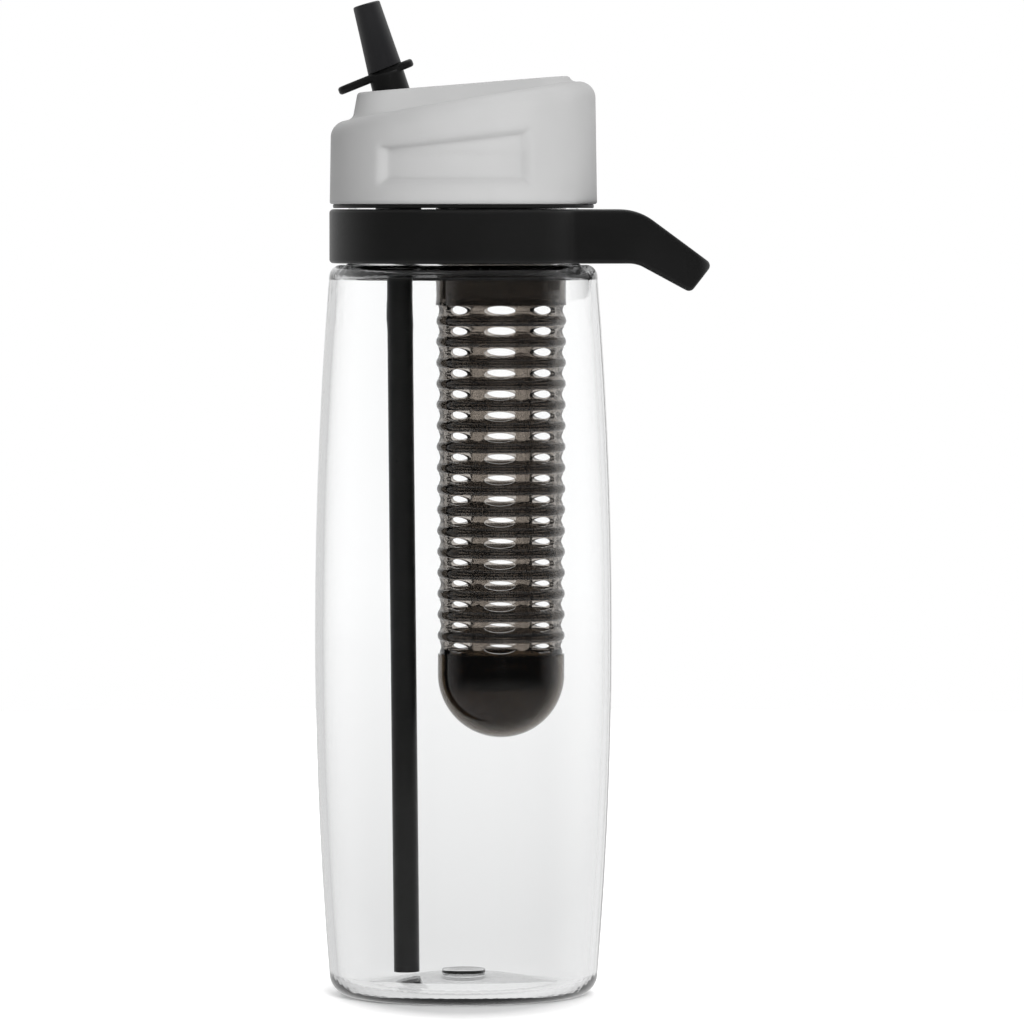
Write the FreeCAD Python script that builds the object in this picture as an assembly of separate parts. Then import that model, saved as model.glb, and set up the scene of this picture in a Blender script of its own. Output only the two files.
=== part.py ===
import FreeCAD, Part
import math
import os

os.makedirs("parts", exist_ok=True)

# A fruit infuser water bottle. Millimetres, +Z up, origin on the bottle's axis at the foot.
# The carry loop points along +X, the spout stands near -X and folds over towards +X.

# Overrun of every cut past the face it opens. Fits: a close fit of one piece in another,
# a turning fit, and the space between loose pieces.
overrun = 1.0
press_gap = 0.05
turning_gap = 0.05
loose_gap = 0.3
least_corner_angle = 20.0

# Bottle body.
body_radius = 37.5
shoulder_z = 184.5
body_widest_share = 0.4932
body_wall = 2.0
foot_inset = 4.0
foot_rounding = 5.5
foot_land = 4.0
punt_rise = 3.2
floor_thickness = 2.6
gate_radius = 5.5
gate_step = 0.7
shoulder_inset = 3.9
shoulder_rounding_share = 0.65
neck_inset = 4.6
neck_wall = 2.0
neck_root_rounding = 0.8
neck_rim_rounding = 0.6
neck_engagement = 9.2
neck_thread_height = 1.1

# Carry band and finger loop. Reaches are measured out from the band.
band_overhang = 0.2
band_height = 13.6
band_seat_gap = 0.4
band_rounding = 1.0
loop_bend_reach = 10.0
loop_bend_rounding = 14.0
loop_under_reach = 9.7
loop_under_rounding = 8.0
loop_end_reach = 28.8
loop_end_drop = 13.85
loop_tip_reach = 23.2
loop_tip_drop = 20.9
loop_tip_rounding = 1.6
loop_root_share = 0.475
loop_root_half_share = 0.6065
loop_end_half = 13.0
loop_corner_rounding = 8.0
loop_blend = 6.0
loop_side_bar = 5.1
loop_end_bar = 8.0
finger_hole_reach = 2.6
finger_hole_rounding = 4.0

# Lid liner and gasket.
liner_gap = 0.4
liner_reveal = 0.9
liner_skirt = 1.0
liner_disc = 1.6
gasket_thickness = 2.0
gasket_width = 3.5
gasket_rounding = 0.4
straw_socket_wall = 1.35
straw_socket_depth = 15.0
straw_socket_clear = 4.8
straw_port_radius = 2.4
socket_spacing = 3.6
infuser_clear = 1.0
infuser_socket_wall = 1.4
infuser_socket_depth = 24.0
lug_width = 5.0
lug_height = 2.4
lug_reach = 0.8
lug_rise = 4.0
vent_place_shares = (-0.2222, 0.7222)
vent_stem_radius = 1.3
vent_head_radius = 3.6
vent_head_thickness = 0.8
vent_bulb_radius = 1.9
vent_bulb_length = 2.2
vent_port_radius = 0.6
vent_port_spread = 2.3
vent_port_count = 4

# Lid shell: a round wall under a sloped deck, with a flared ridge and the spout's trough in it.
shell_fit_gap = 0.1
shell_wall = 2.2
shell_taper = 0.4
shell_low_rounding = 0.6
deck_rise = 3.8
deck_angle = 9.6
deck_rounding = 4.2
ridge_rise = 4.1
ridge_angle = 4.6
ridge_left_inset = 7.5
ridge_right_inset = 6.5
ridge_side_land = 1.7
ridge_end_angle = 10.0
ridge_side_angle = 28.0
ridge_corner = 8.5
ridge_head = 4.0
ridge_root = 1.0
ridge_blend = 1.8
ridge_edge_rounding = 1.0
trough_start_gap = 1.6
trough_side_gap = 0.6
trough_end_land = 11.2
trough_floor = 1.6
trough_floor_rounding = 1.2
trough_end_rounding = 6.0
trough_start_rounding = 2.8
trough_wall = 1.8
trough_vent_rise = 2.5
trough_vent_radius = 0.9
grip_left_share = -0.638
grip_right_share = 0.52
grip_base_share = 0.165
grip_top_share = 0.665
grip_angle = 6.8
grip_depth = 1.3
grip_ledge = 1.8
grip_brow = 1.2
grip_end = 2.0
grip_edge_rounding = 1.2

# Spout: it turns about an axis along Y above the straw. Its own sizes run from that axis.
rotor_radius = 6.0
rotor_gap = 1.8
rotor_half_share = 0.2344
rotor_edge_rounding = 0.5
spout_tilt_angle = 16.0
spout_end_gap = 3.1
stem_base_radius = 4.95
stem_neck_radius = 4.45
stem_core_radius = 3.1
stem_core_share = 0.4167
spout_bore_radius = 2.0
tab_clear = 3.4
tab_lean_angle = 6.0
tab_thickness = 2.0
tab_left = 12.8
tab_right = 7.3
tab_half = 3.0
tab_corner = 2.7
tab_root_corner = 2.6
tab_edge_rounding = 0.7
mouth_base_radius = 4.5
mouth_mid_thickness = 3.95
mouth_mid_half = 4.9
mouth_mid_share = 0.5
mouth_tip_thickness = 3.45
mouth_tip_half = 5.3
mouth_tip_rounding = 0.5
pin_radius = 1.5
pin_depth = 3.0
pin_head_radius = 2.4
pin_head = 0.8
seat_radius = 4.6
seat_bore_radius = 2.2
seat_foot_radius = 6.2
seat_foot_height = 0.9

# Straw and the soft sleeve that holds it, a little out of upright, in its socket.
straw_radius = 3.25
straw_wall = 0.7
straw_top_gap = 0.5
straw_sleeve_wall = 1.1
straw_lean_angle = 0.56

# Infuser basket and its end cap.
basket_top_gap = 0.6
collar_length = 36.0
collar_wall = 1.6
collar_step = 0.6
basket_taper = 0.4
basket_wall = 1.5
rib_reach = 0.55
rib_width = 2.5
row_pitch = 5.3
row_count = 17
slot_column_count = 8
slot_half_angle = 14.0
slot_turn_angle = -1.5
slot_rib_land = 0.1
slot_end_land = 1.9
spigot_dip = 3.4
spigot_wall = 1.4
spigot_lead = 2.4
spigot_lead_inset = 0.6
cap_step = 0.5
cap_wall = 1.3
cap_skirt = 5.2
cap_seat_gap = 0.1
infuser_twist_angle = 60.0

# Bottle and band, from the body outwards.
full_turn = math.degrees(math.tau)
half_turn = full_turn / 2
body_widest_z = shoulder_z * body_widest_share
body_foot_radius = body_radius - foot_inset
shoulder_radius = body_radius - shoulder_inset
shoulder_rounding = neck_inset * shoulder_rounding_share
neck_radius = shoulder_radius - neck_inset
mouth_radius = neck_radius - neck_wall
skirt_radius = neck_radius + neck_thread_height + loose_gap
band_radius = shoulder_radius + band_overhang
loop_bend_x = band_radius + loop_bend_reach
loop_under_x = band_radius + loop_under_reach
loop_end_x = band_radius + loop_end_reach
loop_tip_x = band_radius + loop_tip_reach
loop_root_x = band_radius * loop_root_share
loop_root_half = band_radius * loop_root_half_share
finger_hole_x = band_radius + finger_hole_reach
finger_hole_end_x = loop_end_x - loop_end_bar

# Places across the mouth: the straw's socket on one side, the infuser filling the rest.
liner_radius = skirt_radius + liner_skirt
straw_bore_radius = straw_radius + press_gap
straw_sleeve_radius = straw_bore_radius + straw_sleeve_wall
straw_socket_radius = straw_sleeve_radius + press_gap + straw_socket_wall
straw_x = straw_socket_clear + straw_socket_radius - mouth_radius
infuser_left_x = straw_x + straw_socket_radius + socket_spacing
infuser_right_x = mouth_radius - infuser_clear
infuser_x = (infuser_left_x + infuser_right_x) / 2
collar_radius = (infuser_right_x - infuser_left_x) / 2
infuser_socket_radius = collar_radius - collar_wall - loose_gap
basket_top_radius = collar_radius - collar_step
basket_low_radius = basket_top_radius - basket_taper
cap_radius = basket_low_radius + cap_step
spigot_radius = cap_radius - cap_wall - loose_gap
vent_x = mouth_radius * vent_place_shares[0]
vent_y = mouth_radius * vent_place_shares[1]

# Heights, from the shoulder upwards.
band_low_z = shoulder_z + band_seat_gap
band_top_z = band_low_z + band_height
liner_low_z = band_top_z + liner_gap
shell_low_z = liner_low_z + liner_reveal
rim_z = shell_low_z + neck_engagement
liner_under_z = rim_z + gasket_thickness
liner_top_z = liner_under_z + liner_disc
trough_z = liner_top_z + trough_floor
pivot_z = trough_z + rotor_gap + rotor_radius
deck_z = pivot_z + deck_rise
ridge_z = deck_z + ridge_rise
deck_height = deck_z - shell_low_z

# Lid and spout across.
shell_radius = liner_radius + shell_fit_gap + shell_wall
rotor_half = shell_radius * rotor_half_share
trough_half = rotor_half + trough_side_gap
ridge_half = trough_half + trough_wall + ridge_side_land
ridge_left_x = ridge_left_inset - shell_radius
ridge_right_x = shell_radius - ridge_right_inset
trough_left_x = straw_x - rotor_radius - trough_start_gap
trough_right_x = ridge_right_x - trough_end_land
spout_length = trough_right_x - straw_x - spout_end_gap
tab_reach_along = ridge_z - pivot_z + tab_clear
stem_core_length = (spout_length - tab_reach_along) * stem_core_share

# Heights of the infuser, from the liner downwards.
slot_height = row_pitch - rib_width - 2 * slot_rib_land
basket_top_z = liner_under_z - basket_top_gap
collar_low_z = basket_top_z - collar_length
first_row_z = collar_low_z - slot_height / 2
last_row_z = first_row_z - row_pitch * (row_count - 1)
basket_end_z = last_row_z - slot_end_land
spigot_end_z = basket_end_z - cap_skirt - spigot_dip


def vec(x, y, z):
    return FreeCAD.Vector(x, y, z)


up = vec(0, 0, 1)
along_x = vec(1, 0, 0)
along_y = vec(0, 1, 0)
centre = vec(0, 0, 0)


def upright(u, w):
    """A point of a side outline: u along X, w along Z."""
    return vec(u, 0, w)


def level(u, w):
    """A point of a plan outline: u along X, w along Y."""
    return vec(u, w, 0)


def rounded_outline(corners, place):
    """Closed wire through (u, w, rounding) corners, each turned into an arc of its own rounding."""
    starts = []
    middles = []
    ends = []
    for index, (u, w, rounding) in enumerate(corners):
        here = place(u, w)
        back = place(*corners[index - 1][:2]) - here
        ahead = place(*corners[(index + 1) % len(corners)][:2]) - here
        back.normalize()
        ahead.normalize()
        half = back.getAngle(ahead) / 2
        trim = rounding / math.tan(half)
        inward = back + ahead
        inward.normalize()
        starts.append(here + back * trim)
        ends.append(here + ahead * trim)
        middles.append(here + inward * (rounding / math.sin(half) - rounding))
    edges = []
    for index, corner in enumerate(corners):
        if not starts[index].isEqual(ends[index - 1], press_gap / 1000):
            edges.append(Part.makeLine(ends[index - 1], starts[index]))
        if corner[2]:
            edges.append(Part.Arc(starts[index], middles[index], ends[index]).toShape())
    return Part.Wire(edges)


def plan_prism(corners, low_z, high_z):
    """Upright prism on a plan outline."""
    face = Part.Face(rounded_outline(corners, level))
    face.translate(up * low_z)
    return face.extrude(up * (high_z - low_z))


def side_prism(corners, half):
    """Prism along Y, from -half to half, on a side outline."""
    face = Part.Face(rounded_outline(corners, upright))
    face.translate(along_y * -half)
    return face.extrude(along_y * (half + half))


def revolved(start, steps):
    """Solid turned about Z from a closed side outline; a step of two points is an arc by the first."""
    edges = []
    here = start
    for step in steps:
        there = step[-1]
        if len(step) > 1:
            edges.append(Part.Arc(upright(*here), upright(*step[0]), upright(*there)).toShape())
        else:
            edges.append(Part.makeLine(upright(*here), upright(*there)))
        here = there
    edges.append(Part.makeLine(upright(*here), upright(*start)))
    return Part.Face(Part.Wire(edges)).revolve(centre, up, full_turn)


def barrel_middle(widest_radius, widest_z, end_radius, end_z):
    """Half-way point of the arc that leaves the widest point upright and reaches the end point."""
    fall = widest_radius - end_radius
    rise = end_z - widest_z
    arc_radius = (rise * rise + fall * fall) / (2 * fall)
    angle = math.atan2(rise, arc_radius - fall) / 2
    radius = widest_radius - arc_radius + arc_radius * math.cos(angle)
    return (radius, widest_z + arc_radius * math.sin(angle))


def tube(outer_radius, inner_radius, low_z, high_z, x=0, y=0):
    """Upright tube."""
    outer = Part.makeCylinder(outer_radius, high_z - low_z, vec(x, y, low_z))
    inner = Part.makeCylinder(inner_radius, high_z - low_z + 2 * overrun, vec(x, y, low_z - overrun))
    return outer.cut(inner)


def circles(shape, radius, z):
    """The level circular edges of a given radius at a given height."""
    near = press_gap / 2
    found = []
    for edge in shape.Edges:
        if edge.Degenerated or not isinstance(edge.Curve, Part.Circle):
            continue
        if abs(edge.Curve.Radius - radius) < near and abs(edge.Curve.Center.z - z) < near:
            found.append(edge)
    return found


def sharp_edges(shape):
    """The edges of a shape where two faces meet at a clear angle."""
    found = []
    for edge in shape.Edges:
        middle = edge.valueAt((edge.FirstParameter + edge.LastParameter) / 2)
        normals = []
        for face in shape.ancestorsOfType(edge, Part.Face):
            normals.append(face.normalAt(*face.Surface.parameter(middle)))
        if len(normals) > 1 and math.degrees(normals[0].getAngle(normals[1])) > least_corner_angle:
            found.append(edge)
    return found


def lens(foot_radius, low_z, rise):
    """Low dome on a level disc."""
    sphere_radius = (foot_radius * foot_radius + rise * rise) / (2 * rise)
    half = math.asin(foot_radius / sphere_radius) / 2
    middle = (sphere_radius * math.sin(half), low_z + rise - sphere_radius * (1 - math.cos(half)))
    return revolved((0, low_z), [((foot_radius, low_z),), (middle, (0, low_z + rise))])


def barrel(inset, foot_z, ledge_z, neck_r, top_z, foot_round, ledge_round):
    """Turned solid of the bottle's outside (no inset) or inside (inset by the wall)."""
    widest = body_radius - inset
    foot_r = body_foot_radius - inset
    ledge_r = shoulder_radius - inset
    low_mid = barrel_middle(widest, body_widest_z, foot_r, foot_z)
    high_mid = barrel_middle(widest, body_widest_z, ledge_r, ledge_z)
    steps = [
        ((foot_r, foot_z),),
        (low_mid, (widest, body_widest_z)),
        (high_mid, (ledge_r, ledge_z)),
        ((neck_r, ledge_z),),
        ((neck_r, top_z),),
        ((0, top_z),),
    ]
    solid = revolved((0, foot_z), steps)
    solid = solid.makeFillet(foot_round, circles(solid, foot_r, foot_z))
    solid = solid.makeFillet(ledge_round, circles(solid, ledge_r, ledge_z))
    return solid.makeFillet(neck_root_rounding, circles(solid, neck_r, ledge_z))


def make_bottle():
    punt_radius = body_foot_radius - foot_rounding - foot_land
    outside = barrel(0, 0, shoulder_z, neck_radius, rim_z, foot_rounding, shoulder_rounding)
    outside = outside.makeFillet(neck_rim_rounding, circles(outside, neck_radius, rim_z))
    inside = barrel(
        body_wall,
        floor_thickness,
        shoulder_z - body_wall,
        mouth_radius,
        rim_z + overrun,
        foot_rounding - body_wall,
        shoulder_rounding - body_wall / 2,
    )
    inside = inside.cut(lens(punt_radius, floor_thickness, punt_rise))
    inside = inside.cut(Part.makeCylinder(gate_radius, floor_thickness + punt_rise + gate_step))
    bottle = outside.cut(inside)
    bottle = bottle.cut(lens(punt_radius, 0, punt_rise))
    return bottle.makeFillet(neck_rim_rounding, circles(bottle, mouth_radius, rim_z))


def loop_half(x):
    """Half the width of the finger loop at a distance from the bottle's axis."""
    share = (x - loop_root_x) / (loop_end_x - loop_root_x)
    return loop_root_half + share * (loop_end_half - loop_root_half)


def make_band():
    far = loop_bend_x + loop_end_x
    side = side_prism(
        [
            (-far, band_top_z, 0),
            (-far, band_low_z, 0),
            (loop_under_x, band_low_z, loop_under_rounding),
            (loop_tip_x, band_top_z - loop_tip_drop, loop_tip_rounding),
            (loop_end_x, band_top_z - loop_end_drop, loop_tip_rounding),
            (loop_bend_x, band_top_z, loop_bend_rounding),
        ],
        band_radius + overrun,
    )
    low = band_top_z - loop_tip_drop - overrun
    high = band_top_z + overrun
    ring = Part.makeCylinder(band_radius, high - low, vec(0, 0, low))
    loop = plan_prism(
        [
            (loop_root_x, -loop_root_half, 0),
            (loop_end_x, -loop_end_half, loop_corner_rounding),
            (loop_end_x, loop_end_half, loop_corner_rounding),
            (loop_root_x, loop_root_half, 0),
        ],
        low,
        high,
    )
    plan = ring.fuse(loop).removeSplitter()
    joins = []
    for edge in plan.Edges:
        middle = edge.CenterOfMass
        full_height = abs(edge.BoundBox.ZLength - (high - low)) < press_gap
        on_ring = abs(math.hypot(middle.x, middle.y) - band_radius) < press_gap
        if full_height and on_ring and middle.x > 0 and isinstance(edge.Curve, Part.Line):
            joins.append(edge)
    plan = plan.makeFillet(loop_blend, joins)
    near_half = loop_half(finger_hole_x) - loop_side_bar
    end_half = loop_half(finger_hole_end_x) - loop_side_bar
    hole = plan_prism(
        [
            (finger_hole_x, -near_half, finger_hole_rounding),
            (finger_hole_end_x, -end_half, finger_hole_rounding),
            (finger_hole_end_x, end_half, finger_hole_rounding),
            (finger_hole_x, near_half, finger_hole_rounding),
        ],
        low - overrun,
        high + overrun,
    )
    plan = plan.cut(hole)
    plan = plan.cut(Part.makeCylinder(skirt_radius, high - low + 2 * overrun, vec(0, 0, low - overrun)))
    band = plan.common(side).removeSplitter()
    return band.makeFillet(band_rounding, sharp_edges(band))


def sector(inner_radius, outer_radius, low_z, high_z, start, sweep):
    """Part of an upright ring about Z, from a start angle through a sweep."""
    corners = [
        (inner_radius, low_z, 0),
        (outer_radius, low_z, 0),
        (outer_radius, high_z, 0),
        (inner_radius, high_z, 0),
    ]
    solid = Part.Face(rounded_outline(corners, upright)).revolve(centre, up, sweep)
    solid.rotate(centre, up, start)
    return solid


def above_slope(base_z, angle):
    """Everything over a plane that rises towards +X at an angle, through a height on the axis."""
    span = 4 * shell_radius
    block = Part.makeBox(span, span, span, vec(-span / 2, -span / 2, 0))
    block.rotate(centre, along_y, -angle)
    block.translate(up * base_z)
    return block


def box_outline(left, right, half, rounding):
    """Corners of a plan rectangle that is even about X."""
    return [
        (left, -half, rounding),
        (right, -half, rounding),
        (right, half, rounding),
        (left, half, rounding),
    ]


def sloped_edges(shape):
    """Edges of a shape that climb and are neither level circles nor straight seams."""
    found = []
    for edge in shape.Edges:
        if edge.BoundBox.ZLength > overrun and not isinstance(edge.Curve, Part.Line):
            found.append(edge)
    return found


def ridge_solid(inset):
    """The flared ridge along the lid, cut by its own sloped top."""
    low_z = deck_z - shell_radius * math.tan(math.radians(deck_angle)) - ridge_root
    wires = []
    for z in (low_z, ridge_z + ridge_head):
        end_grow = (ridge_z - z) * math.tan(math.radians(ridge_end_angle)) - inset
        half = ridge_half + (ridge_z - z) * math.tan(math.radians(ridge_side_angle)) - inset
        corners = box_outline(ridge_left_x - end_grow, ridge_right_x + end_grow, half, ridge_corner)
        wire = rounded_outline(corners, level)
        wire.translate(up * z)
        wires.append(wire)
    ridge = Part.makeLoft(wires, True, True)
    return ridge.cut(above_slope(ridge_z - inset, ridge_angle))


def lid_wall(inset):
    """The tapered round wall of the lid under its sloped deck."""
    foot_radius = shell_radius - inset
    top_radius = foot_radius - 2 * shell_taper
    wall = Part.makeCone(foot_radius, top_radius, 2 * deck_height, vec(0, 0, shell_low_z))
    return wall.cut(above_slope(deck_z - inset, deck_angle))


def plane_face(shape, angle):
    """The largest flat face of a shape whose outward normal leans back from +Z by an angle."""
    wanted = vec(-math.sin(math.radians(angle)), 0, math.cos(math.radians(angle)))
    faces = []
    for face in shape.Faces:
        if isinstance(face.Surface, Part.Plane) and (face.normalAt(0, 0) - wanted).Length < 0.001:
            faces.append(face)
    return max(faces, key=lambda face: face.Area)


def slanted_ring(z, climb, far_z):
    """Ring round the lid's wall between a level face and one that climbs over the grip's depth."""
    outer = shell_radius + overrun
    inner = shell_radius - 2 * grip_depth - shell_taper
    slope = climb / grip_depth
    steps = [((outer, far_z),), ((inner, far_z),), ((inner, z + slope * (shell_radius - inner)),)]
    return revolved((outer, z + slope * (shell_radius - outer)), steps)


def grip_end_line(x, inward):
    """Two plan points on the slanted end of a grip recess: inside the wall and outside it."""
    turn = math.asin(x / shell_radius)
    floor_turn = turn + inward * grip_end / shell_radius
    rim = level(shell_radius * math.sin(turn), -shell_radius * math.cos(turn))
    floor_radius = shell_radius - grip_depth
    floor = level(floor_radius * math.sin(floor_turn), -floor_radius * math.cos(floor_turn))
    return floor + (floor - rim), rim - (floor - rim)


def cut_grips(wall):
    """Sinks a shallow grip recess with slanted sides into the front and the back of the lid's wall."""
    base_z = shell_low_z + deck_height * grip_base_share
    top_z = shell_low_z + deck_height * grip_top_share
    roof = slanted_ring(top_z, -grip_brow, shell_low_z - deck_height)
    roof.rotate(up * top_z, along_y, -grip_angle)
    ring = slanted_ring(base_z, grip_ledge, shell_low_z + 2 * deck_height).common(roof)
    left_in, left_out = grip_end_line(shell_radius * grip_left_share, 1)
    right_in, right_out = grip_end_line(shell_radius * grip_right_share, -1)
    far_y = -2 * shell_radius
    corners = [
        (left_in.x, left_in.y, 0),
        (left_out.x, left_out.y, 0),
        (left_out.x, far_y, 0),
        (right_out.x, far_y, 0),
        (right_out.x, right_out.y, 0),
        (right_in.x, right_in.y, 0),
    ]
    front = plan_prism(corners, shell_low_z, shell_low_z + 2 * deck_height)
    front = ring.common(front).cut(lid_wall(grip_depth))
    for recess in (front, front.mirror(centre, along_y)):
        wall = wall.cut(recess)
    rims = []
    for edge in wall.Edges:
        box = edge.BoundBox
        wide = box.XMin > left_out.x and box.XMax < right_out.x
        tall = box.ZMin > shell_low_z + overrun and box.ZMax < deck_z - overrun
        reach = min(math.hypot(vertex.X, vertex.Y) for vertex in edge.Vertexes)
        if wide and tall and reach > shell_radius - grip_depth:
            rims.append(edge)
    return wall.makeFillet(grip_edge_rounding, rims)


def make_shell():
    wall = lid_wall(0)
    wall = wall.makeFillet(deck_rounding, sloped_edges(wall))
    wall = cut_grips(wall.makeFillet(shell_low_rounding, circles(wall, shell_radius, shell_low_z)))
    ridge = ridge_solid(0)
    ridge = ridge.makeFillet(ridge_edge_rounding, plane_face(ridge, ridge_angle).OuterWire.Edges)
    outside = wall.fuse(ridge).removeSplitter()
    outside = outside.makeFillet(ridge_blend, plane_face(outside, deck_angle).Wires[1].Edges)

    # Hollow under the deck and the ridge, then the bore that takes the liner.
    above_liner = Part.makeCylinder(2 * shell_radius, 2 * deck_height, vec(0, 0, liner_top_z))
    hollow = lid_wall(shell_wall).fuse(ridge_solid(shell_wall + trough_wall)).common(above_liner)
    shell = outside.cut(hollow)
    bore_z = shell_low_z - overrun
    bore = Part.makeCylinder(liner_radius + shell_fit_gap, liner_top_z - bore_z, vec(0, 0, bore_z))
    shell = shell.cut(bore)

    # Trough for the folded spout, in a housing of its own down to the liner.
    high_z = shell_low_z + 2 * deck_height
    housing = plan_prism(trough_outline(trough_wall), liner_top_z, high_z)
    shell = shell.fuse(housing.common(outside))
    trough = plan_prism(trough_outline(0), trough_z, high_z)
    floor_edges = [edge for edge in trough.Edges if abs(edge.BoundBox.ZMax - trough_z) < press_gap]
    shell = shell.cut(trough.makeFillet(trough_floor_rounding, floor_edges))

    # Pin holes with room for the heads, the seat's stepped hole, the vent out of the trough.
    reach = trough_half + trough_wall + overrun
    below = vec(straw_x, 0, liner_top_z - overrun)
    beside = vec(straw_x, -reach, pivot_z)
    pin_hole = Part.makeCylinder(pin_radius + press_gap, 2 * reach, beside, along_y)
    seat_hole = Part.makeCylinder(seat_radius + press_gap, trough_floor + 2 * overrun, below)
    foot_depth = seat_foot_height + press_gap + overrun
    foot_hole = Part.makeCylinder(seat_foot_radius + press_gap, foot_depth, below)
    vent_hole = Part.makeCylinder(
        trough_vent_radius,
        2 * trough_wall + 2 * overrun,
        vec(trough_right_x - overrun, 0, trough_z + trough_vent_rise),
        along_x,
    )
    for side in (-1, 1):
        wall_end = vec(straw_x, side * (trough_half + trough_wall), pivot_z)
        head_room = pin_head + press_gap + loose_gap
        pocket = Part.makeCylinder(pin_head_radius + loose_gap, head_room, wall_end, along_y * side)
        shell = shell.cut(pocket)
    for opening in (pin_hole, seat_hole, foot_hole, vent_hole):
        shell = shell.cut(opening)
    return shell


def trough_outline(grow):
    """Plan corners of the trough, grown by the thickness of its housing."""
    half = trough_half + grow
    return [
        (trough_left_x - grow, -half, trough_start_rounding + grow),
        (trough_right_x + grow, -half, trough_end_rounding + grow),
        (trough_right_x + grow, half, trough_end_rounding + grow),
        (trough_left_x - grow, half, trough_start_rounding + grow),
    ]


def lug_angle():
    return math.degrees(lug_width / infuser_socket_radius)


def make_liner():
    liner = Part.makeCylinder(liner_radius, liner_top_z - liner_low_z, vec(0, 0, liner_low_z))
    open_z = liner_low_z - overrun
    liner = liner.cut(Part.makeCylinder(skirt_radius, liner_under_z - open_z, vec(0, 0, open_z)))

    # Straw socket and the port above it.
    socket_low = liner_under_z - straw_socket_depth
    bore = straw_sleeve_radius + press_gap
    liner = liner.fuse(tube(straw_socket_radius, bore, socket_low, liner_under_z, straw_x))
    below = vec(straw_x, 0, liner_under_z - overrun)
    liner = liner.cut(Part.makeCylinder(straw_port_radius, liner_disc + 2 * overrun, below))

    # Infuser socket with a pair of bayonet lugs.
    socket_low = liner_under_z - infuser_socket_depth
    bore = infuser_socket_radius - infuser_socket_wall
    socket = tube(infuser_socket_radius, bore, socket_low, liner_under_z)
    lug_z = basket_top_z - lug_rise - lug_height
    for start in (0, half_turn):
        lug = sector(
            infuser_socket_radius - infuser_socket_wall / 2,
            infuser_socket_radius + lug_reach,
            lug_z,
            lug_z + lug_height,
            start - lug_angle() / 2,
            lug_angle(),
        )
        socket = socket.fuse(lug)
    socket.translate(along_x * infuser_x)
    liner = liner.fuse(socket)

    # Seat of the vent valve: a hole for its stem in a ring of air ports.
    below = vec(vent_x, vent_y, liner_under_z - overrun)
    liner = liner.cut(Part.makeCylinder(vent_stem_radius + press_gap, liner_disc + 2 * overrun, below))
    for index in range(vent_port_count):
        turn = math.radians(full_turn * index / vent_port_count)
        out = vec(math.cos(turn), math.sin(turn), 0) * vent_port_spread
        liner = liner.cut(Part.makeCylinder(vent_port_radius, liner_disc + 2 * overrun, below + out))
    return liner.removeSplitter()


def make_gasket():
    outer = skirt_radius - loose_gap
    inner = outer - gasket_width
    gasket = tube(outer, inner, rim_z, liner_under_z)
    edges = []
    for radius in (outer, inner):
        for z in (rim_z, liner_under_z):
            edges += circles(gasket, radius, z)
    return gasket.makeFillet(gasket_rounding, edges)


def make_vent_valve():
    valve = lens(vent_head_radius, 0, vent_head_thickness)
    valve.rotate(centre, along_x, half_turn)
    bulb_z = liner_disc + press_gap
    stem = Part.makeCylinder(vent_stem_radius, bulb_z)
    bulb = Part.makeCone(vent_bulb_radius, vent_stem_radius, vent_bulb_length, vec(0, 0, bulb_z))
    valve = valve.fuse(stem).fuse(bulb).removeSplitter()
    valve.translate(vec(vent_x, vent_y, liner_under_z))
    return valve


def make_seat():
    top_z = pivot_z - stem_base_radius - loose_gap
    seat = Part.makeCylinder(seat_radius, top_z - liner_top_z, vec(straw_x, 0, liner_top_z))
    seat = seat.fuse(Part.makeCylinder(seat_foot_radius, seat_foot_height, vec(straw_x, 0, liner_top_z)))
    open_z = liner_top_z - overrun
    bore = Part.makeCylinder(seat_bore_radius, top_z - open_z + overrun, vec(straw_x, 0, open_z))
    beside = vec(straw_x, -2 * rotor_half, pivot_z)
    rotor = Part.makeCylinder(rotor_radius + loose_gap, 4 * rotor_half, beside, along_y)
    return seat.cut(bore).cut(rotor).removeSplitter()


def make_tab():
    """The thumb tab: a plate across the spout's own axis, leaning back."""
    corners = [
        (-tab_left, -tab_half, tab_corner),
        (tab_right, -tab_half, tab_root_corner),
        (tab_right, tab_half, tab_root_corner),
        (-tab_left, tab_half, tab_corner),
    ]
    tab = lean_tab(plan_prism(corners, -tab_thickness / 2, tab_thickness / 2))
    return tab.makeFillet(tab_edge_rounding, level_rims(tab))


def lean_tab(shape):
    """Leans a shape made across the spout's axis and lifts it to the tab's place."""
    shape.rotate(centre, along_y, -tab_lean_angle)
    shape.translate(up * tab_reach_along)
    return shape


def stand_spout(shape):
    """Takes a piece made along +Z from the pivot to its place on the lid, spout up."""
    shape.rotate(centre, along_y, -spout_tilt_angle)
    shape.translate(vec(straw_x, 0, pivot_z))
    return shape


def make_spout():
    rotor = Part.makeCylinder(rotor_radius, 2 * rotor_half, vec(0, -rotor_half, 0), along_y)
    rims = [edge for edge in rotor.Edges if isinstance(edge.Curve, Part.Circle)]
    rotor = rotor.makeFillet(rotor_edge_rounding, rims)
    stem = Part.makeCone(stem_base_radius, stem_neck_radius, tab_reach_along)
    core_top = tab_reach_along + tab_thickness / 2 + stem_core_length
    core = Part.makeCylinder(stem_core_radius, core_top)
    spout = rotor.fuse(stem).fuse(core).fuse(make_tab()).removeSplitter()
    spout = spout.cut(Part.makeCylinder(spout_bore_radius, core_top + overrun))
    for start in (-rotor_half - overrun, rotor_half - pin_depth - loose_gap):
        depth = pin_depth + loose_gap + overrun
        spout = spout.cut(Part.makeCylinder(pin_radius + turning_gap, depth, vec(0, start, 0), along_y))
    spout = stand_spout(spout)
    pivot = vec(straw_x, 0, pivot_z)
    drop = Part.makeCylinder(spout_bore_radius, rotor_radius + overrun, pivot, up * -1)
    return spout.cut(drop.fuse(Part.makeSphere(spout_bore_radius, pivot)))


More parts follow.
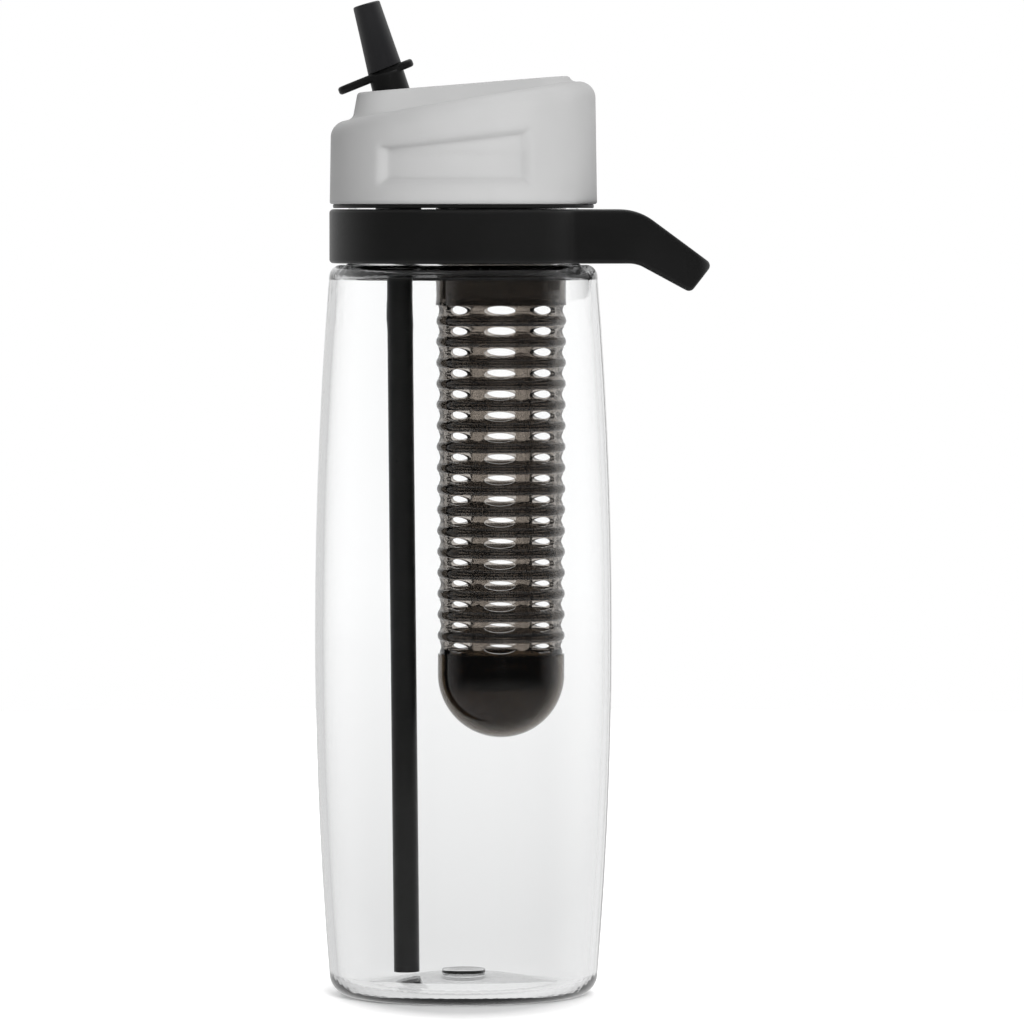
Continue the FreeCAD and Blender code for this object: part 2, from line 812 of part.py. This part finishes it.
def level_rims(plate):
    """Edges round the two broad faces of a plate."""
    faces = sorted(plate.Faces, key=lambda face: face.Area)[-2:]
    return faces[0].OuterWire.Edges + faces[1].OuterWire.Edges


def oval(half_x, half_y, z):
    """Level ellipse as a wire."""
    if half_x > half_y:
        edge = Part.Ellipse(vec(half_x, 0, z), vec(0, half_y, z), vec(0, 0, z)).toShape()
    else:
        edge = Part.Ellipse(vec(0, half_y, z), vec(-half_x, 0, z), vec(0, 0, z)).toShape()
    return Part.Wire([edge])


def make_mouthpiece():
    mid = tab_reach_along + mouth_mid_share * (spout_length - tab_reach_along)
    sleeve = Part.makeLoft(
        [
            oval(mouth_base_radius, mouth_base_radius + press_gap, tab_reach_along),
            oval(mouth_mid_thickness, mouth_mid_half, mid),
            oval(mouth_tip_thickness, mouth_tip_half, spout_length),
        ],
        True,
    )
    tip = [edge for edge in sleeve.Edges if abs(edge.BoundBox.ZMin - spout_length) < press_gap]
    sleeve = sleeve.makeFillet(mouth_tip_rounding, tip)
    span = 4 * tab_left
    tab_top = tab_thickness / 2 + press_gap
    under = Part.makeBox(span, span, span, vec(-span / 2, -span / 2, tab_top - span))
    sleeve = sleeve.cut(lean_tab(under))
    socket_top = tab_reach_along + tab_thickness / 2 + stem_core_length + press_gap
    sleeve = sleeve.cut(Part.makeCylinder(stem_core_radius + press_gap, socket_top))
    sleeve = sleeve.cut(Part.makeCylinder(spout_bore_radius, spout_length + overrun))
    return stand_spout(sleeve)


def make_pin(side):
    """Hinge stub in one wall of the trough; side is -1 for the front and 1 for the back."""
    inner = rotor_half - pin_depth
    outer = trough_half + trough_wall + press_gap
    away = along_y * side
    stub = Part.makeCylinder(pin_radius, outer - inner, vec(straw_x, side * inner, pivot_z), away)
    head = Part.makeCylinder(pin_head_radius, pin_head, vec(straw_x, side * outer, pivot_z), away)
    return stub.fuse(head).removeSplitter()


def lean_straw(shape):
    """Leans a shape on the straw's axis about the top of its socket."""
    shape.rotate(vec(straw_x, 0, liner_under_z), along_y, -straw_lean_angle)
    return shape


def make_straw():
    low_z = floor_thickness + punt_rise
    straw = tube(straw_radius, straw_radius - straw_wall, low_z, liner_under_z - straw_top_gap, straw_x)
    return lean_straw(straw)


def make_straw_sleeve():
    low_z = liner_under_z - straw_socket_depth
    open_z = low_z - overrun
    sleeve = Part.makeCylinder(straw_sleeve_radius, straw_socket_depth, vec(straw_x, 0, low_z))
    bore = Part.makeCylinder(straw_bore_radius, straw_socket_depth + 2 * overrun, vec(straw_x, 0, open_z))
    return sleeve.cut(lean_straw(bore))


def basket_radius(z):
    """Outside radius of the slotted wall, which tapers downwards."""
    share = (z - basket_end_z) / (collar_low_z - basket_end_z)
    return basket_low_radius + share * (basket_top_radius - basket_low_radius)


def make_basket():
    steps = [((collar_radius, collar_low_z),), ((basket_top_radius, collar_low_z),)]
    for index in range(row_count - 1):
        z = first_row_z - row_pitch * (index + 0.5)
        start = (basket_radius(z + rib_width / 2), z + rib_width / 2)
        crest = (basket_radius(z) + rib_reach, z)
        finish = (basket_radius(z - rib_width / 2), z - rib_width / 2)
        steps += [(start,), (crest, finish)]
    collar_inner = collar_radius - collar_wall
    steps += [
        ((basket_low_radius, basket_end_z),),
        ((spigot_radius, basket_end_z),),
        ((spigot_radius, spigot_end_z + spigot_lead),),
        ((spigot_radius - spigot_lead_inset, spigot_end_z),),
        ((spigot_radius - spigot_wall, spigot_end_z),),
        ((spigot_radius - spigot_wall, basket_end_z),),
        ((basket_low_radius - basket_wall, basket_end_z + spigot_wall),),
        ((basket_top_radius - basket_wall, collar_low_z),),
        ((collar_inner, collar_low_z + collar_wall),),
        ((collar_inner, basket_top_z),),
    ]
    basket = revolved((collar_radius, basket_top_z), steps)

    # Rows of lens-shaped slots, each tool passing through two opposite columns.
    slot_half = basket_top_radius * math.sin(math.radians(slot_half_angle))
    reach = collar_radius + overrun
    tools = []
    for row in range(row_count):
        middle = vec(0, -reach, first_row_z - row_pitch * row)
        top = middle + up * (slot_height / 2 - slot_rib_land)
        rim = Part.Ellipse(middle + along_x * slot_half, top, middle).toShape()
        for column in range(slot_column_count // 2):
            tool = Part.Face(Part.Wire(rim)).extrude(along_y * (2 * reach))
            tool.rotate(centre, up, slot_turn_angle + full_turn * column / slot_column_count)
            tools.append(tool)
    basket = basket.cut(Part.makeCompound(tools))

    # Bayonet tracks inside the collar: an entry from the top and a level run to each lug.
    lug_z = basket_top_z - lug_rise - lug_height
    track_out = infuser_socket_radius + lug_reach + loose_gap
    track_in = collar_inner - collar_wall / 2
    slack = math.degrees(loose_gap / infuser_socket_radius)
    width = lug_angle() + 2 * slack
    for start in (0, half_turn):
        begin = start - width / 2 - infuser_twist_angle
        sweep = width + infuser_twist_angle
        run = sector(track_in, track_out, lug_z - loose_gap, lug_z + lug_height + loose_gap, begin, sweep)
        entry = sector(track_in, track_out, lug_z, basket_top_z + overrun, begin, width)
        basket = basket.cut(run).cut(entry)
    basket.translate(along_x * infuser_x)
    return basket


def make_end_cap():
    top_z = basket_end_z - cap_seat_gap
    round_z = basket_end_z - cap_skirt
    inner = cap_radius - cap_wall
    slant = math.sqrt(0.5)
    steps = [
        ((cap_radius, round_z),),
        ((cap_radius * slant, round_z - cap_radius * slant), (0, round_z - cap_radius)),
        ((0, round_z - inner),),
        ((inner * slant, round_z - inner * slant), (inner, round_z)),
        ((inner, top_z),),
    ]
    cap = revolved((cap_radius, top_z), steps)
    cap.translate(along_x * infuser_x)
    return cap


pieces = {
    "bottle_body": make_bottle(),
    "carry_band": make_band(),
    "lid_shell": make_shell(),
    "lid_liner": make_liner(),
    "lid_gasket": make_gasket(),
    "vent_valve": make_vent_valve(),
    "spout_seat": make_seat(),
    "spout_body": make_spout(),
    "spout_pin_front": make_pin(-1),
    "spout_pin_back": make_pin(1),
    "mouthpiece": make_mouthpiece(),
    "straw": make_straw(),
    "straw_sleeve": make_straw_sleeve(),
    "infuser_basket": make_basket(),
    "infuser_end_cap": make_end_cap(),
}

for name, shape in pieces.items():
    shape.exportStep("parts/" + name + ".step")
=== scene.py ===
import math

import bmesh
import bpy
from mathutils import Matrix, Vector


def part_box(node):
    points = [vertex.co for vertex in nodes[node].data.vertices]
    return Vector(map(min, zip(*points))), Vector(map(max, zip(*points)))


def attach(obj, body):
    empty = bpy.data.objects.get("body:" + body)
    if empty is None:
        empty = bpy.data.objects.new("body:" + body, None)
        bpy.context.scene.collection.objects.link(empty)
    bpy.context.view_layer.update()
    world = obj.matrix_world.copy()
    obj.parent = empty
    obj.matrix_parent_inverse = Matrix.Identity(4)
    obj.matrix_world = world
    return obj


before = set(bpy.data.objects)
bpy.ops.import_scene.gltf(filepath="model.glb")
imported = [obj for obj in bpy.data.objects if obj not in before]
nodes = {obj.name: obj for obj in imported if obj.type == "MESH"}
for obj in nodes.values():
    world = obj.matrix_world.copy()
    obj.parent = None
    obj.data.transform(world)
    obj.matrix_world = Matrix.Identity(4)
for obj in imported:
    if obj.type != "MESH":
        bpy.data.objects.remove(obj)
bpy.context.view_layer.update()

scene = bpy.context.scene

MM = 0.001

# Places taken from the frame, in metres.
bottle_rim_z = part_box("bottle_body")[1][2]
band_top_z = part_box("carry_band")[1][2]
shell_bottom_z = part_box("lid_shell")[0][2]
shell_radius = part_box("lid_shell")[1][0]
liner_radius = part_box("lid_liner")[1][0]
basket_top_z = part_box("infuser_basket")[1][2]
basket_axis_x = (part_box("infuser_end_cap")[0][0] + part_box("infuser_end_cap")[1][0]) / 2

# Basket: its collar, its ribs and two narrow darker lines up its front.
collar_length = 36.0 * MM
collar_blend = 0.8 * MM
first_rib_drop = 3.95 * MM
rib_pitch = 5.3 * MM
rib_start_share = 0.26
rib_full_share = 0.32
# Two narrow darker lines up the basket's wall, at these angles round it from the front.
dark_line_angles = (-29.5, 24.4)
line_core_radians = 0.006
line_edge_radians = 0.016
line_darkness = 0.55
collar_darkness = 0.85

# Screw thread between the neck and the liner.
liner_wall = 1.0 * MM
thread_room = 1.4 * MM
thread_sink = 0.05 * MM
thread_pitch = 4.0 * MM
thread_foot_half = 0.85 * MM
thread_crest_half = 0.35 * MM
thread_thin_end = 0.05
thread_run_out_share = 1 / 12
neck_thread_reach = 0.7 * MM
neck_thread_drop = 8.0 * MM
neck_thread_turns = 1.5
liner_thread_reach = 0.45 * MM
liner_thread_drop = 8.4 * MM
liner_thread_turns = 1.6
thread_steps_a_turn = 96

# Thin lip of the liner in the slit between the lid and the band.
lip_inner_gap = 0.2 * MM
lip_outer_inset = 0.8 * MM
lip_band_gap = 0.3 * MM
lip_shell_gap = 0.02 * MM
lip_chamfer = 0.2 * MM
lip_steps = 160

# Surfaces.
plastic_ior = 1.47
grain_depth = 0.1 * MM
edge_samples = 8
broad_grain = 40.0
polish_grain = 300.0
cap_grain = 40.0

# Stage. Beyond the shadow the floor is lifted to white, on an oval that is narrower along X.
floor_radius = 1.1
floor_corners = 128
floor_shade = 0.85
floor_glow = 0.75
shadow_start = 45.0 * MM
shadow_end = 85.0 * MM
shadow_narrowing = 1.9

# White room: its strength by what looks at it. Dark walls keep black and clear plastic deep.
dark_wall = 0.03
bright_wall = 0.9
left_wall_share = 0.75
bright_ends = 0.6
ambient = 0.30
seen_high = 1.20
seen_low = 0.93
seen_under_base = 0.30
seen_no_limit = 2.0

# Camera and lamps.
lamp_aim = Vector((0, 0, 0.15))
camera_distance = 1.95
camera_height = 0.200
view_side = 12.25 * MM
view_height = 122.1 * MM
sensor_width = 36.0
lens = 271.7
light_bounces = 24


# Node helpers


def new_material(name):
    material = bpy.data.materials.new(name)
    material.use_nodes = True
    tree = material.node_tree
    shader = tree.nodes["Principled BSDF"]
    return material, tree, shader


def add_noise(tree, scale, detail=2.0):
    coords = tree.nodes.new("ShaderNodeTexCoord")
    noise = tree.nodes.new("ShaderNodeTexNoise")
    noise.inputs["Scale"].default_value = scale
    noise.inputs["Detail"].default_value = detail
    tree.links.new(coords.outputs["Object"], noise.inputs["Vector"])
    return noise.outputs["Fac"]


def add_split(tree, kind):
    """The X, Y and Z of the surface's place or of a ray's direction."""
    coords = tree.nodes.new("ShaderNodeTexCoord")
    split = tree.nodes.new("ShaderNodeSeparateXYZ")
    tree.links.new(coords.outputs[kind], split.inputs["Vector"])
    return split.outputs["X"], split.outputs["Y"], split.outputs["Z"]


def add_range(tree, source, low, high, start=0.0, end=1.0):
    """Maps a value from start..end to low..high, held at both ends."""
    remap = tree.nodes.new("ShaderNodeMapRange")
    remap.inputs["From Min"].default_value = start
    remap.inputs["From Max"].default_value = end
    remap.inputs["To Min"].default_value = low
    remap.inputs["To Max"].default_value = high
    tree.links.new(source, remap.inputs["Value"])
    return remap.outputs["Result"]


def fill_slot(tree, slot, value):
    """Feeds a socket or a number to a node's input."""
    if isinstance(value, (int, float)):
        slot.default_value = value
    else:
        tree.links.new(value, slot)


def add_math(tree, operation, first, second=None):
    """One sum of two values, each a socket or a number."""
    node = tree.nodes.new("ShaderNodeMath")
    node.operation = operation
    fill_slot(tree, node.inputs[0], first)
    if second is not None:
        fill_slot(tree, node.inputs[1], second)
    return node.outputs["Value"]


def add_blend(tree, share, first, second):
    """Blend of two values, each a socket or a number."""
    node = tree.nodes.new("ShaderNodeMix")
    node.data_type = "FLOAT"
    tree.links.new(share, node.inputs[0])
    fill_slot(tree, node.inputs[2], first)
    fill_slot(tree, node.inputs[3], second)
    return node.outputs[0]


def add_bump(tree, shader, source, strength, edge):
    """Fine surface grain, over edges that look rounded by the edge radius."""
    bevel = tree.nodes.new("ShaderNodeBevel")
    bevel.samples = edge_samples
    bevel.inputs["Radius"].default_value = edge
    bump = tree.nodes.new("ShaderNodeBump")
    bump.inputs["Strength"].default_value = strength
    bump.inputs["Distance"].default_value = grain_depth
    tree.links.new(source, bump.inputs["Height"])
    tree.links.new(bevel.outputs["Normal"], bump.inputs["Normal"])
    tree.links.new(bump.outputs["Normal"], shader.inputs["Normal"])


def add_tint(tree, shader, source, dark, light, start=0.3, end=0.7):
    ramp = tree.nodes.new("ShaderNodeValToRGB")
    ramp.color_ramp.elements[0].color = (*dark, 1)
    ramp.color_ramp.elements[1].color = (*light, 1)
    ramp.color_ramp.elements[0].position = start
    ramp.color_ramp.elements[1].position = end
    tree.links.new(source, ramp.inputs["Fac"])
    tree.links.new(ramp.outputs["Color"], shader.inputs["Base Color"])


# Materials


def grey(value):
    return (value, value, value)


def moulded(name, dark, light, rough, grain, bump, gloss=0.5, edge=0.3 * MM):
    """Opaque moulded plastic: a fine grain in colour, roughness and surface."""
    material, tree, shader = new_material(name)
    fine = add_noise(tree, grain, detail=3.0)
    add_tint(tree, shader, add_noise(tree, grain / broad_grain), dark, light)
    shader.inputs["Specular IOR Level"].default_value = gloss
    tree.links.new(add_range(tree, fine, *rough), shader.inputs["Roughness"])
    add_bump(tree, shader, fine, bump, edge)
    return material


def see_through(name, rough):
    """Clear plastic with a faint change of polish."""
    material, tree, shader = new_material(name)
    fine = add_noise(tree, polish_grain)
    shader.inputs["Transmission Weight"].default_value = 1.0
    shader.inputs["IOR"].default_value = plastic_ior
    tree.links.new(add_range(tree, fine, *rough), shader.inputs["Roughness"])
    return material, tree, shader


def clear_wall():
    """The bottle's plastic, which darkens with the thickness that is looked through."""
    material, tree, shader = see_through("clear_plastic", rough=(0.0, 0.02))
    shader.inputs["Base Color"].default_value = (0.995, 0.997, 0.997, 1)
    depth = tree.nodes.new("ShaderNodeVolumeAbsorption")
    depth.inputs["Color"].default_value = (0.60, 0.61, 0.62, 1)
    depth.inputs["Density"].default_value = 34.0
    tree.links.new(depth.outputs["Volume"], tree.nodes["Material Output"].inputs["Volume"])
    return material


def rib_mask(tree, z, collar_foot_z):
    """One in the basket's ribs, none between them or in the collar."""
    row = add_math(tree, "SUBTRACT", z, collar_foot_z - first_rib_drop)
    row = add_math(tree, "FRACT", add_math(tree, "DIVIDE", row, rib_pitch))
    off = add_math(tree, "ABSOLUTE", add_math(tree, "SUBTRACT", row, 0.5))
    rib = add_range(tree, off, 0.0, 1.0, rib_start_share, rib_full_share)
    below_collar = add_range(tree, z, 1.0, 0.0, collar_foot_z - collar_blend, collar_foot_z)
    return add_math(tree, "MULTIPLY", rib, below_collar)


def dark_line_mask(tree, x, y, angle):
    """A narrow line up the basket's wall, at an angle round it from the front."""
    across = add_math(tree, "SUBTRACT", x, basket_axis_x)
    turn = add_math(tree, "ARCTAN2", across, add_math(tree, "MULTIPLY", y, -1.0))
    away = add_math(tree, "ABSOLUTE", add_math(tree, "SUBTRACT", turn, math.radians(angle)))
    return add_range(tree, away, line_darkness, 0.0, line_core_radians, line_edge_radians)


def smoky_ribs():
    """The basket's smoky plastic: darker in its ribs, its collar and along two narrow lines up its front.
    """
    material, tree, shader = see_through("smoky_ribs", rough=(0.03, 0.08))
    x, y, z = add_split(tree, "Object")
    collar_foot_z = basket_top_z - collar_length
    dark = rib_mask(tree, z, collar_foot_z)
    for angle in dark_line_angles:
        dark = add_math(tree, "MAXIMUM", dark, dark_line_mask(tree, x, y, angle))
    collar = add_range(tree, z, 0.0, collar_darkness, collar_foot_z - collar_blend, collar_foot_z)
    dark = add_math(tree, "MAXIMUM", dark, collar)
    thin_tint = (0.47, 0.435, 0.40)
    thick_tint = (0.070, 0.059, 0.049)
    add_tint(tree, shader, dark, thin_tint, thick_tint, start=0.0, end=1.0)
    return material


def smoky_cap():
    """The end cap's deeper smoky plastic."""
    material, tree, shader = see_through("smoky_cap", rough=(0.02, 0.06))
    broad = add_noise(tree, cap_grain)
    add_tint(tree, shader, broad, dark=(0.092, 0.067, 0.042), light=(0.108, 0.081, 0.054))
    return material


def ground_steel():
    """The hinge pins' bare metal."""
    dark = (0.55, 0.55, 0.56)
    light = (0.62, 0.62, 0.63)
    material = moulded("steel", dark, light, rough=(0.22, 0.34), grain=700.0, bump=0.05)
    material.node_tree.nodes["Principled BSDF"].inputs["Metallic"].default_value = 1.0
    return material


clear_plastic = clear_wall()
grey_plastic = moulded(
    "grey_plastic", grey(0.40), grey(0.43),
    rough=(0.45, 0.58), grain=1800.0, bump=0.12, gloss=0.2, edge=2.6 * MM,
)
black_plastic = moulded(
    "black_plastic", grey(0.006), grey(0.009),
    rough=(0.30, 0.42), grain=1500.0, bump=0.10, gloss=0.22, edge=1.2 * MM,
)
black_tube = moulded(
    "black_tube", grey(0.015), grey(0.020),
    rough=(0.25, 0.34), grain=900.0, bump=0.04, gloss=0.3,
)
soft_black = moulded(
    "soft_black", (0.010, 0.010, 0.011), (0.014, 0.014, 0.015),
    rough=(0.40, 0.55), grain=1200.0, bump=0.08, gloss=0.35,
)
silicone = moulded(
    "silicone", (0.70, 0.70, 0.68), (0.76, 0.76, 0.74),
    rough=(0.42, 0.55), grain=900.0, bump=0.05,
)
steel = ground_steel()

looks = {
    "bottle_body": clear_plastic,
    "carry_band": black_plastic,
    "lid_shell": grey_plastic,
    "lid_liner": black_plastic,
    "lid_gasket": silicone,
    "vent_valve": silicone,
    "spout_seat": silicone,
    "spout_body": black_plastic,
    "spout_pin_front": steel,
    "spout_pin_back": steel,
    "mouthpiece": soft_black,
    "straw": black_tube,
    "straw_sleeve": silicone,
    "infuser_basket": smoky_ribs(),
    "infuser_end_cap": smoky_cap(),
}
for name, node in nodes.items():
    node.data.materials.clear()
    node.data.materials.append(looks[name])


# Pieces too fine for the solids: the two ridges of the screw thread and the liner's lip


def new_piece(name, material, points, faces):
    """A closed mesh of its own, with its faces turned outwards."""
    mesh = bpy.data.meshes.new(name)
    mesh.from_pydata(points, [], faces)
    shape = bmesh.new()
    shape.from_mesh(mesh)
    bmesh.ops.recalc_face_normals(shape, faces=shape.faces[:])
    shape.to_mesh(mesh)
    shape.free()
    mesh.materials.append(material)
    piece = bpy.data.objects.new(name, mesh)
    scene.collection.objects.link(piece)
    return piece


def screw_ridge(name, material, foot, crest, start_z, turns):
    """Helical ridge from a foot radius to a crest radius, run out at both ends."""
    steps = int(thread_steps_a_turn * turns)
    points = []
    faces = []
    for index in range(steps + 1):
        share = index / steps
        angle = math.tau * turns * share
        rise = start_z + thread_pitch * turns * share
        full = min(1.0, share / thread_run_out_share, (1 - share) / thread_run_out_share)
        full = thread_thin_end + (1 - thread_thin_end) * full
        top = foot + (crest - foot) * full
        profile = [(foot, -thread_foot_half), (top, -thread_crest_half)]
        profile += [(top, thread_crest_half), (foot, thread_foot_half)]
        for radius, z in profile:
            points.append((radius * math.cos(angle), radius * math.sin(angle), rise + z * full))
    sides = 4
    for index in range(steps):
        for side in range(sides):
            here = sides * index + side
            beside = sides * index + (side + 1) % sides
            faces.append((here, beside, beside + sides, here + sides))
    faces.append(tuple(reversed(range(sides))))
    faces.append(tuple(sides * steps + side for side in range(sides)))
    return new_piece(name, material, points, faces)


def flat_ring(name, material, inner, outer, low, high):
    """Ring with a small chamfer on both outer edges."""
    profile = [(inner, low), (outer - lip_chamfer, low), (outer, low + lip_chamfer)]
    profile += [(outer, high - lip_chamfer), (outer - lip_chamfer, high), (inner, high)]
    points = []
    faces = []
    for index in range(lip_steps):
        angle = math.tau * index / lip_steps
        for radius, z in profile:
            points.append((radius * math.cos(angle), radius * math.sin(angle), z))
    count = len(profile)
    for index in range(lip_steps):
        here = index * count
        ahead = (index + 1) % lip_steps * count
        for side in range(count):
            up = (side + 1) % count
            faces.append((here + side, ahead + side, ahead + up, here + up))
    return new_piece(name, material, points, faces)


liner_bore = liner_radius - liner_wall
neck_radius = liner_bore - thread_room
neck_thread = screw_ridge(
    "neck_thread", clear_plastic,
    foot=neck_radius - thread_sink, crest=neck_radius + neck_thread_reach,
    start_z=bottle_rim_z - neck_thread_drop, turns=neck_thread_turns,
)
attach(neck_thread, "bottle")
liner_thread = screw_ridge(
    "liner_thread", black_plastic,
    foot=liner_bore + thread_sink, crest=liner_bore - liner_thread_reach,
    start_z=bottle_rim_z - liner_thread_drop, turns=liner_thread_turns,
)
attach(liner_thread, "lid")
liner_lip = flat_ring(
    "liner_lip", black_plastic,
    inner=liner_bore + lip_inner_gap, outer=shell_radius - lip_outer_inset,
    low=band_top_z + lip_band_gap, high=shell_bottom_z - lip_shell_gap,
)
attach(liner_lip, "lid")


# Stage and light


def light_path(tree):
    return tree.nodes.new("ShaderNodeLightPath").outputs


def floor_white():
    """Matt white that is lifted towards white where it is looked at, so only the shadow stays grey."""
    material, tree, shader = new_material("floor_white")
    path = light_path(tree)
    shader.inputs["Base Color"].default_value = (*grey(floor_shade), 1)
    shader.inputs["Roughness"].default_value = 0.9
    shader.inputs["Specular IOR Level"].default_value = 0.0
    shader.inputs["Emission Color"].default_value = (1, 1, 1, 1)
    coords = tree.nodes.new("ShaderNodeTexCoord")
    narrow = tree.nodes.new("ShaderNodeMapping")
    narrow.inputs["Scale"].default_value = (shadow_narrowing, 1.0, 1.0)
    tree.links.new(coords.outputs["Object"], narrow.inputs["Vector"])
    apart = tree.nodes.new("ShaderNodeVectorMath")
    apart.operation = "LENGTH"
    tree.links.new(narrow.outputs["Vector"], apart.inputs[0])
    lift = add_range(tree, apart.outputs["Value"], 0.0, floor_glow, shadow_start, shadow_end)
    lift = add_math(tree, "MULTIPLY", lift, path["Is Camera Ray"])
    tree.links.new(lift, shader.inputs["Emission Strength"])
    return material


def lay_floor():
    bpy.ops.mesh.primitive_circle_add(vertices=floor_corners, radius=floor_radius, fill_type="NGON")
    floor = bpy.context.object
    floor.name = "floor"
    floor.visible_transmission = False
    floor.visible_glossy = False
    floor.data.materials.append(floor_white())


def mirrored_room(tree, x, y, z):
    """What plastic mirrors: a bright wall behind, brighter to the right, and bright ends up and down."""
    back = add_range(tree, y, dark_wall, bright_wall, start=-0.3, end=0.45)
    back = add_math(tree, "MULTIPLY", back, add_range(tree, x, left_wall_share, 1.0, start=-0.7, end=0.2))
    above = add_range(tree, z, dark_wall, bright_ends, start=0.3, end=0.9)
    below = add_range(tree, z, bright_ends, dark_wall, start=-0.6, end=-0.1)
    return add_math(tree, "MAXIMUM", add_math(tree, "MAXIMUM", back, above), below)


def seen_room(tree, z, path):
    """What shows through clear plastic: a little greyer low down, and dark straight through the base."""
    seen = add_range(tree, z, seen_low, seen_high, start=-0.099, end=-0.048)
    under = add_range(tree, z, seen_under_base, seen_high, start=-0.35, end=-0.12)
    one_wall = add_range(tree, path["Transmission Depth"], 1.0, 0.0, start=2.0, end=3.0)
    under = add_blend(tree, one_wall, seen_no_limit, under)
    return add_math(tree, "MINIMUM", seen, under)


def light_room():
    """A white room, with a strength of its own for each kind of ray that meets it."""
    world = bpy.data.worlds.new("studio")
    scene.world = world
    world.use_nodes = True
    tree = world.node_tree
    path = light_path(tree)
    x, y, z = add_split(tree, "Generated")
    room = mirrored_room(tree, x, y, z)
    was_mirrored = add_math(tree, "MINIMUM", path["Glossy Depth"], 1.0)
    through = add_blend(tree, was_mirrored, seen_room(tree, z, path), room)
    strength = add_blend(tree, path["Is Glossy Ray"], ambient, room)
    strength = add_blend(tree, path["Is Transmission Ray"], strength, through)
    strength = add_blend(tree, path["Is Camera Ray"], strength, 1.0)
    background = tree.nodes["Background"]
    background.inputs["Color"].default_value = (1, 1, 1, 1)
    tree.links.new(strength, background.inputs["Strength"])


def softbox(name, place, width, height, power, mirrored=False):
    """Area lamp aimed at the bottle, kept out of sight in clear plastic."""
    light = bpy.data.lights.new(name, "AREA")
    light.shape = "RECTANGLE"
    light.size = width
    light.size_y = height
    light.energy = power
    lamp = bpy.data.objects.new(name, light)
    lamp.location = place
    lamp.rotation_euler = (lamp_aim - Vector(place)).to_track_quat("-Z", "Y").to_euler()
    lamp.visible_glossy = mirrored
    lamp.visible_transmission = False
    scene.collection.objects.link(lamp)


lay_floor()
light_room()
softbox("key_top", place=(0.2, 0.5, 1.6), width=1.2, height=1.2, power=9.0, mirrored=True)
softbox("fill_right", place=(1.3, -0.7, 1.0), width=0.7, height=1.2, power=3.0)
softbox("fill_front", place=(0.40, -1.65, 0.85), width=0.7, height=0.7, power=30.0)
softbox("fill_back", place=(-0.7, 1.5, 0.8), width=0.8, height=0.8, power=14.0)


# Camera


def place_camera():
    camera_data = bpy.data.cameras.new("camera")
    camera_data.sensor_width = sensor_width
    camera_data.lens = lens
    camera = bpy.data.objects.new("camera", camera_data)
    camera.location = (view_side, -camera_distance, camera_height)
    target = Vector((view_side, 0.0, view_height))
    camera.rotation_euler = (target - camera.location).to_track_quat("-Z", "Y").to_euler()
    scene.collection.objects.link(camera)
    scene.camera = camera


place_camera()
scene.view_settings.view_transform = "Standard"
scene.cycles.max_bounces = light_bounces
scene.cycles.transmission_bounces = light_bounces
